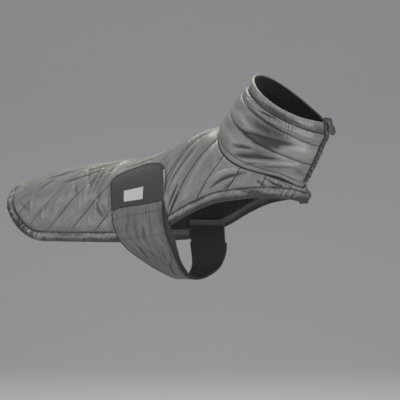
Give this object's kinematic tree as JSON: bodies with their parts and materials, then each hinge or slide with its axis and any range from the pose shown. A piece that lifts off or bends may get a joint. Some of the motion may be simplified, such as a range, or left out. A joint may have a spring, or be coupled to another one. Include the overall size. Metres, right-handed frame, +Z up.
{
  "type": "dog winter coat",
  "caption": "Quilted winter coat for a large dog, in worn shape and empty, with a high funnel collar and a wide belly strap that closes with a patch on the flank.",
  "frame": {"origin": "the coat's inner face at the spine over the withers, where the wearer's back carries it", "axes": "+X toward the dog's head, +Y toward the dog's left side, +Z up"},
  "size_m": [0.9006, 0.2666, 0.4799],
  "materials": {
    "shell": "satin",
    "strap": "satin",
    "fleece": "matte",
    "piping": "matte",
    "patch": "matte",
    "tape": "satin",
    "label": "satin"
  },
  "bodies": {
    "root": {"back_panel": "shell", "rear_hem_band": "shell", "near_flank_band": "shell", "far_flank_band": "shell", "near_shoulder_band": "shell", "far_shoulder_band": "shell", "collar_shell": "shell", "collar_rim_band": "shell", "collar_lining": "fleece", "collar_edge_binding": "piping", "collar_corner_tab": "shell", "belly_strap": "strap", "belly_strap_lining": "piping", "strap_rear_piping": "piping", "strap_front_piping": "piping", "closure_patch": "patch", "patch_piping": "piping", "hook_tape": "tape", "label": "label"}
  },
  "joints": []
}
